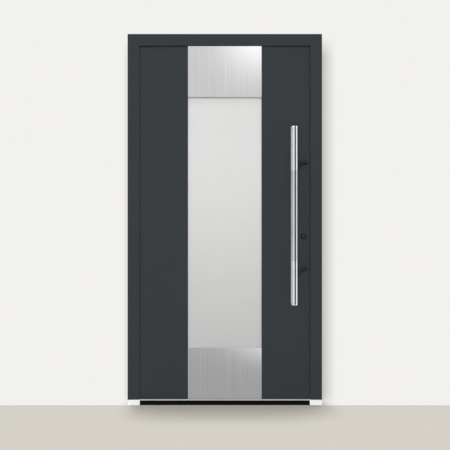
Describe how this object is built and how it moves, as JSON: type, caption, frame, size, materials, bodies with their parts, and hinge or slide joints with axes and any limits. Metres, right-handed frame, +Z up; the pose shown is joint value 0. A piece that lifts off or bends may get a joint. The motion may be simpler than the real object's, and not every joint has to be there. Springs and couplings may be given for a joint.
{
  "type": "aluminium entrance door",
  "caption": "Inward-opening aluminium entrance door with a tall frosted light between brushed steel plates, a full bar handle, a flat threshold and side-hung hinges.",
  "frame": {"origin": "middle of the threshold's underside, at the floor", "axes": "+Z up, -Y towards the outside, +X towards the lock side"},
  "size_m": [1.1, 0.2267, 2.1],
  "materials": {
    "anthracite_paint": "matt powder coat",
    "black_polyamide": "extruded",
    "insulating_foam": "foamed",
    "white_plastic": "moulded",
    "black_plastic": "extruded",
    "anodised_aluminium": "satin anodised",
    "black_rubber": "extruded",
    "light_rubber": "extruded",
    "frosted_glass": "satin etched",
    "brushed_plate_steel": "vertical grain",
    "satin_grip_steel": "satin",
    "brushed_tube_steel": "brushed",
    "black_paint": "matt",
    "hinge_steel": "matt powder coat",
    "lock_steel": "satin"
  },
  "bodies": {
    "frame": {"foot_block_left": "white_plastic", "foot_block_right": "white_plastic", "frame_inner_head": "anthracite_paint", "frame_inner_jamb_left": "anthracite_paint", "frame_inner_jamb_right": "anthracite_paint", "frame_outer_head": "anthracite_paint", "frame_outer_jamb_left": "anthracite_paint", "frame_outer_jamb_right": "anthracite_paint", "frame_thermal_break": "black_polyamide", "hinge_frame_lower": "hinge_steel", "hinge_frame_middle": "hinge_steel", "hinge_frame_upper": "hinge_steel", "hinge_pin_lower": "hinge_steel", "hinge_pin_middle": "hinge_steel", "hinge_pin_upper": "hinge_steel", "strike_plate": "lock_steel", "threshold_base": "black_plastic", "threshold_rail": "anodised_aluminium"},
    "leaf": {"glass_pane_inner": "frosted_glass", "glass_pane_middle": "frosted_glass", "glass_pane_outer": "frosted_glass", "glass_spacer_inner": "black_plastic", "glass_spacer_outer": "black_plastic", "glazing_bead": "anthracite_paint", "glazing_gasket": "light_rubber", "handle_bracket_lower": "black_paint", "handle_bracket_upper": "black_paint", "handle_cap_lower": "brushed_tube_steel", "handle_cap_upper": "brushed_tube_steel", "handle_grip": "satin_grip_steel", "handle_tube_lower": "brushed_tube_steel", "handle_tube_upper": "brushed_tube_steel", "hinge_leaf_lower": "hinge_steel", "hinge_leaf_middle": "hinge_steel", "hinge_leaf_upper": "hinge_steel", "leaf_core": "insulating_foam", "leaf_inner_skin": "anthracite_paint", "leaf_outer_skin": "anthracite_paint", "leaf_rail_bottom": "anthracite_paint", "leaf_rail_top": "anthracite_paint", "leaf_stile_hinge": "anthracite_paint", "leaf_stile_lock": "anthracite_paint", "lever_handle": "lock_steel", "lever_rosette": "lock_steel", "lock_cylinder": "black_paint", "lock_faceplate": "lock_steel", "lock_rosette_inside": "lock_steel", "lock_rosette_outside": "black_paint", "plate_bottom": "brushed_plate_steel", "plate_top": "brushed_plate_steel", "seal_inner": "black_rubber", "seal_outer": "black_rubber"}
  },
  "joints": [
    {"name": "leaf_hinge", "type": "hinge", "parent": "frame", "child": "leaf", "pos_m": [-0.514, 0.056, 1.015], "axis": [0, 0, 1], "range_deg": [0, 110]}
  ]
}
